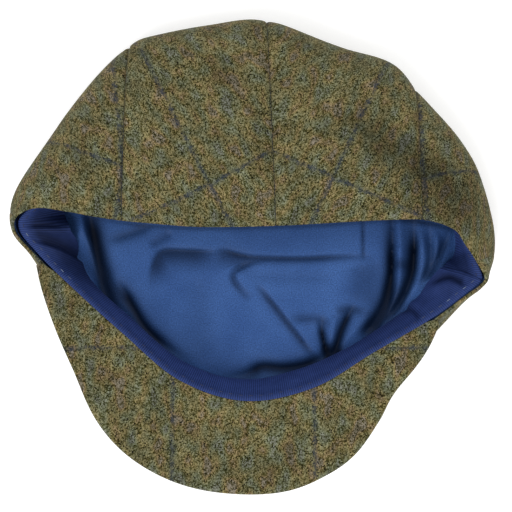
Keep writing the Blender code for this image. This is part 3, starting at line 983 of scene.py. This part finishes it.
def make_stitches(material, centre, side):
    """Short thread stitches along the ribbon's sewn edge, pale where they catch the eye."""
    mesh = bmesh.new()
    shade_uv = mesh.loops.layers.uv.new("cloth")
    count = centre.shape[0] - 1
    row = centre[:, STITCH_ROW]
    length = travelled(row)
    for k in range(int(length[-1] / STITCH_PITCH)):
        start = k * STITCH_PITCH
        low = float(np.interp(start, length, np.arange(count + 1)))
        high = float(np.interp(start + STITCH_LENGTH, length, np.arange(count + 1)))
        ends = []
        for at in (low, high):
            i = int(at) % count
            t = at - int(at)
            point = row[i] * (1 - t) + row[(i + 1) % count] * t
            ends.append(Vector(point + side[i, STITCH_ROW] * (RIBBON_THICKNESS / 2 + STITCH_STAND)))
        place = low / RIBBON_COLUMNS
        pale = sum(
            smooth_step(rise, full, place) * (1 - smooth_step(fall, gone, place))
            for rise, full, fall, gone in PALE_STITCHES
        )
        catches = uneven(STITCH_CHANCE, k, 0.5) > DULL_BELOW
        shade = PALEST * pale * (1.0 if catches else DULL_SHARE)
        middle = (ends[0] + ends[1]) / 2
        turn = (ends[1] - ends[0]).to_track_quat("Z", "Y")
        made = bmesh.ops.create_uvsphere(mesh, u_segments=6, v_segments=5, radius=1.0)
        stretch = Vector((THREAD_RADIUS, THREAD_RADIUS, (ends[1] - ends[0]).length / 2))
        for vert in made["verts"]:
            vert.co = turn @ Vector(vert.co * stretch) + middle
            for loop in vert.link_loops:
                loop[shade_uv].uv = (shade, 0.5)
    add_piece("band_stitches", mesh, material)


def add_node(tree, kind, **settings):
    node = tree.nodes.new(kind)
    for name, value in settings.items():
        setattr(node, name, value)
    return node


def add_math(tree, operation, first, second=None, clamp=False):
    """A maths node whose inputs are links or plain numbers, giving its result socket."""
    node = add_node(tree, "ShaderNodeMath", operation=operation, use_clamp=clamp)
    for index, value in enumerate((first, second)):
        if value is None:
            continue
        if isinstance(value, (int, float)):
            node.inputs[index].default_value = value
        else:
            tree.links.new(value, node.inputs[index])
    return node.outputs[0]


def add_weighted(tree, parts):
    """The sum of some sockets, each times its weight."""
    total = None
    for socket, weight in parts:
        scaled = add_math(tree, "MULTIPLY", socket, weight)
        total = add_math(tree, "ADD", total, scaled) if total else scaled
    return total


def add_mix(tree, factor, first, second, mode="MIX"):
    node = add_node(tree, "ShaderNodeMix", data_type="RGBA", blend_type=mode)
    for socket, value in ((node.inputs[0], factor), (node.inputs[6], first), (node.inputs[7], second)):
        if isinstance(value, (int, float, tuple)):
            socket.default_value = value
        else:
            tree.links.new(value, socket)
    return node.outputs[2]


def add_shaded(tree, colour, *levels):
    """A colour times one number, or times one for each of its three channels."""
    node = add_node(tree, "ShaderNodeCombineColor")
    for index in range(3):
        tree.links.new(levels[index % len(levels)], node.inputs[index])
    return add_mix(tree, 1.0, colour, node.outputs[0], "MULTIPLY")


def add_ramp(tree, factor, stops):
    """A colour ramp from rows of a position and its red, green and blue."""
    node = add_node(tree, "ShaderNodeValToRGB")
    ramp = node.color_ramp.elements
    while len(ramp) < len(stops):
        ramp.new(0.5)
    for element, (position, *colour) in zip(ramp, stops):
        element.position = position
        element.color = (*colour, 1)
    tree.links.new(factor, node.inputs[0])
    return node.outputs[0]


def add_noise(tree, vector, scale, detail=2.0, roughness=0.5):
    node = add_node(tree, "ShaderNodeTexNoise")
    set_sockets(node, {"Scale": scale, "Detail": detail, "Roughness": roughness})
    tree.links.new(vector, node.inputs["Vector"])
    return node.outputs[0]


def add_split(tree, kind, socket):
    """The three parts of a vector or a colour."""
    node = add_node(tree, kind)
    tree.links.new(socket, node.inputs[0])
    return node.outputs


def add_stretch(tree, vector, turn, scale):
    node = add_node(tree, "ShaderNodeMapping")
    set_sockets(node, {"Rotation": (0.0, 0.0, math.radians(turn)), "Scale": scale})
    tree.links.new(vector, node.inputs["Vector"])
    return node.outputs[0]


def add_range(tree, value, low, high, to_low, to_high, smooth=False):
    node = add_node(tree, "ShaderNodeMapRange")
    node.interpolation_type = "SMOOTHSTEP" if smooth else "LINEAR"
    set_sockets(node, {"From Min": low, "From Max": high, "To Min": to_low, "To Max": to_high})
    tree.links.new(value, node.inputs["Value"])
    return node.outputs[0]


def make_heather_group():
    """Heather tweed: fine woolly grain over slow drifts of yarn colour, crossed by navy lines."""
    group = bpy.data.node_groups.new("heather_tweed", "ShaderNodeTree")
    new_socket = group.interface.new_socket
    new_socket("Cloth", in_out="INPUT", socket_type="NodeSocketVector")
    for name in ("Line Pitch", "Cross Pitch", "Line Strength", "Tone And Painted Shade"):
        new_socket(name, in_out="INPUT", socket_type="NodeSocketFloat")
    for name, kind in (("Color", "NodeSocketColor"), ("Height", "NodeSocketFloat")):
        new_socket(name, in_out="OUTPUT", socket_type=kind)
    start = add_node(group, "NodeGroupInput")
    end = add_node(group, "NodeGroupOutput")
    cloth = start.outputs["Cloth"]
    stretched = add_stretch(group, cloth, 25, (1.0, 0.92, 1.0))
    grain = add_node(group, "ShaderNodeTexVoronoi", feature="F1")
    grain.inputs["Scale"].default_value = WOOL_SCALE
    group.links.new(stretched, grain.inputs["Vector"])
    chance = add_split(group, "ShaderNodeSeparateColor", grain.outputs["Color"])
    drift = add_noise(group, add_stretch(group, cloth, 20, (1.0, 0.6, 1.0)), DRIFT_SCALE, 1.2)
    drift = add_range(group, drift, 0.30, 0.70, 0.0, 1.0)
    pick = add_weighted(group, ((drift, 0.94), (chance[0], 0.06)))
    yarns = add_ramp(group, pick, YARNS)
    wool = add_math(group, "POWER", chance[1], 1.2)
    shade = add_range(group, wool, 0.0, 1.0, 0.02, 2.18)
    pale = add_math(group, "MAXIMUM", add_range(group, wool, 0.0, 1.0, -0.34, 2.60), 0.03)
    woolly = add_shaded(group, yarns, shade, shade, pale)
    cloud = add_range(group, add_noise(group, cloth, CLOUD_SCALE, 2.5, 0.55), 0.3, 0.7, 0.76, 1.24)
    # the tweed's own tone, with painted shade where a copy of it is made darker
    toned = add_shaded(group, woolly, add_math(group, "MULTIPLY", cloud, start.outputs["Tone And Painted Shade"]))
    parts = add_split(group, "ShaderNodeSeparateXYZ", cloth)
    fray = add_math(group, "MULTIPLY", add_math(group, "SUBTRACT", chance[2], 0.5), LINE_FRAY)
    masks = []
    for axis, pitch in enumerate(("Line Pitch", "Cross Pitch")):
        shifted = add_math(group, "ADD", parts[axis], fray)
        half = add_math(group, "MULTIPLY", start.outputs[pitch], 0.5)
        near = add_math(group, "PINGPONG", shifted, half)
        masks.append(add_range(group, near, LINE_CORE, LINE_EDGE, 1.0, 0.0, True))
    line = add_math(group, "MAXIMUM", masks[0], masks[1])
    patchy = add_range(group, add_noise(group, cloth, PATCH_SCALE, 2.0, 0.6), 0.38, 0.62, 0.15, 1.15)
    line = add_math(group, "MULTIPLY", line, patchy)
    line = add_math(group, "MULTIPLY", line, start.outputs["Line Strength"], clamp=True)
    lined = add_mix(group, line, toned, NAVY)
    fuzz = add_noise(group, cloth, FUZZ_SCALE, 2.0, 0.6)
    lift = add_math(group, "SUBTRACT", 1.0, add_math(group, "MULTIPLY", grain.outputs["Distance"], 0.9))
    height = add_weighted(group, ((lift, 0.6), (fuzz, 0.5)))
    group.links.new(lined, end.inputs["Color"])
    group.links.new(height, end.inputs["Height"])
    return group


def set_sockets(node, values):
    for name, value in values.items():
        node.inputs[name].default_value = value


def new_material(name, values):
    """A material with its node tree, its shader and the socket of its cloth coordinates."""
    material = bpy.data.materials.new(name)
    material.use_nodes = True
    tree = material.node_tree
    shader = tree.nodes["Principled BSDF"]
    set_sockets(shader, values)
    cloth = add_node(tree, "ShaderNodeUVMap", uv_map="cloth")
    return material, tree, shader, cloth.outputs[0]


def add_finish(tree, shader, colour, height, strength, distance):
    """The shader's colour, and its bump from a height."""
    tree.links.new(colour, shader.inputs["Base Color"])
    bump = add_node(tree, "ShaderNodeBump")
    set_sockets(bump, {"Strength": strength, "Distance": distance})
    tree.links.new(height, bump.inputs["Height"])
    tree.links.new(bump.outputs[0], shader.inputs["Normal"])


def add_crease_shade(tree, colour, least):
    """A colour darkened by painted shade, as strongly as the cloth's crease layer says."""
    mark = add_node(tree, "ShaderNodeAttribute", attribute_name="crease")
    keep = add_range(tree, mark.outputs["Fac"], 0.0, 1.0, 1.0, least)
    return add_shaded(tree, colour, keep)


def make_tweed(group, name, line_strength, tone):
    material, tree, shader, cloth = new_material(name, {
        "Roughness": 0.95,
        "Specular IOR Level": 0.06,
        "Sheen Weight": 0.08,
        "Sheen Roughness": 0.6,
        "Sheen Tint": (0.8, 0.78, 0.6, 1.0),
    })
    heather = add_node(tree, "ShaderNodeGroup", node_tree=group)
    set_sockets(heather, {
        "Line Pitch": CHECK_PITCH,
        "Cross Pitch": CROSS_PITCH,
        "Line Strength": line_strength,
        "Tone And Painted Shade": tone,
    })
    tree.links.new(cloth, heather.inputs["Cloth"])
    # painted shade in the tweed's creases, hollows and along its seams
    colour = add_crease_shade(tree, heather.outputs["Color"], least=0.35)
    add_finish(tree, shader, colour, heather.outputs["Height"], strength=0.5, distance=0.0005)
    return material


def make_satin():
    """Satin with a fine weave that also changes how it shines, with painted shade in its creases."""
    material, tree, shader, cloth = new_material("satin_lining", {"Specular IOR Level": 0.05})
    cloud = add_noise(tree, cloth, SATIN_CLOUD_SCALE, 3.0)
    colour = add_ramp(tree, cloud, SATIN_BLUES)
    weave = add_noise(tree, cloth, WEAVE_SCALE, 1.0)
    threads = add_range(tree, weave, 0.25, 0.75, 0.62, 1.38)
    colour = add_shaded(tree, colour, threads)
    colour = add_crease_shade(tree, colour, least=0.04)
    rough = add_math(tree, "ADD", 0.36, add_math(tree, "MULTIPLY", weave, 0.14))
    tree.links.new(rough, shader.inputs["Roughness"])
    add_finish(tree, shader, colour, weave, strength=0.15, distance=0.0002)
    return material


def make_grosgrain():
    """Ribbon with ribs across its length."""
    material, tree, shader, cloth = new_material("grosgrain_ribbon", {
        "Roughness": 0.62,
        "Specular IOR Level": 0.08,
    })
    along = add_split(tree, "ShaderNodeSeparateXYZ", cloth)[0]
    wave = add_math(tree, "SINE", add_math(tree, "MULTIPLY", along, 2 * math.pi / RIB_PITCH))
    rib = add_math(tree, "ADD", 0.5, add_math(tree, "MULTIPLY", wave, 0.5))
    cloud = add_noise(tree, cloth, RIBBON_CLOUD_SCALE)
    fleck = add_noise(tree, add_stretch(tree, cloth, 0, (1.0, 0.3, 1.0)), WEAVE_SCALE, 1.0)
    tone = add_weighted(tree, ((rib, 0.40), (cloud, 0.30), (fleck, 0.30)))
    colour = add_ramp(tree, tone, RIBBON_BLUES)
    # painted shade in the ribbon's creases, over its ends and along its sewn edge
    colour = add_crease_shade(tree, colour, least=0.16)
    add_finish(tree, shader, colour, rib, strength=0.35, distance=0.0003)
    return material


def make_thread():
    """Sewing thread, navy or pale by the value in its map."""
    material, tree, shader, shade = new_material("band_thread", {"Roughness": 0.6})
    colour = add_ramp(tree, add_split(tree, "ShaderNodeSeparateXYZ", shade)[0], THREAD_BLUES)
    position = add_node(tree, "ShaderNodeTexCoord")
    twist = add_noise(tree, position.outputs["Object"], TWIST_SCALE, 1.0)
    twist = add_range(tree, twist, 0.3, 0.7, 0.75, 1.2)
    colour = add_shaded(tree, colour, twist)
    add_finish(tree, shader, colour, twist, strength=0.3, distance=0.0001)
    return material


def add_light(light):
    """A square lamp that shines at the middle of the cap."""
    data = bpy.data.lights.new(light.name, "AREA")
    data.shape = "SQUARE"
    data.size = light.size
    data.energy = light.power
    lamp = add_object(light.name, data)
    lamp.location = light.place
    lamp.rotation_euler = (-Vector(light.place)).to_track_quat("-Z", "Y").to_euler()


def make_studio():
    """Pale floor glowing with painted light, soft light from round about and a camera looking straight
    down.
    """
    scene = bpy.context.scene
    mesh = bmesh.new()
    bmesh.ops.create_grid(mesh, x_segments=1, y_segments=1, size=FLOOR_REACH)
    for vert in mesh.verts:
        vert.co.z = FLOOR_LEVEL
    data = bpy.data.meshes.new("glowing_pale_floor")
    mesh.to_mesh(data)
    mesh.free()
    floor = add_object("glowing_pale_floor", data)
    material = bpy.data.materials.new("glowing_pale_floor")
    material.use_nodes = True
    set_sockets(material.node_tree.nodes["Principled BSDF"], {
        "Base Color": (0.93, 0.93, 0.93, 1.0),
        "Roughness": 0.9,
        # painted light: the floor glows although it is no lamp
        "Emission Color": (1.0, 1.0, 1.0, 1.0),
        "Emission Strength": FLOOR_GLOW,
    })
    data.materials.append(material)
    world = bpy.data.worlds.new("studio")
    world.use_nodes = True
    sky = {"Color": (1.0, 1.0, 1.0, 1.0), "Strength": SKY_STRENGTH}
    set_sockets(world.node_tree.nodes["Background"], sky)
    scene.world = world
    scene.view_settings.view_transform = "Standard"
    for light in LIGHTS:
        add_light(light)
    camera_data = bpy.data.cameras.new("camera")
    camera_data.sensor_width = SENSOR_WIDTH
    camera_data.lens = SENSOR_WIDTH * LENS_PIXELS / PICTURE_SIDE
    scene.camera = add_object("camera", camera_data)
    scene.camera.location = CAMERA_PLACE


def dress_cap():
    heather = make_heather_group()
    # The crown's tweed is a darker copy of the peak's: painted shade for the weaker light on the crown
    shaded_crown_tweed = make_tweed(heather, "shaded_crown_tweed", line_strength=0.72, tone=0.91)
    peak_tweed = make_tweed(heather, "peak_tweed", line_strength=0.66, tone=0.95)
    for number in range(1, PANELS + 1):
        make_crown_panel(number, shaded_crown_tweed)
    make_peak(peak_tweed)
    centre, side = make_ribbon(make_grosgrain())
    make_lining(make_satin(), centre)
    make_stitches(make_thread(), centre, side)


dress_cap()
make_studio()
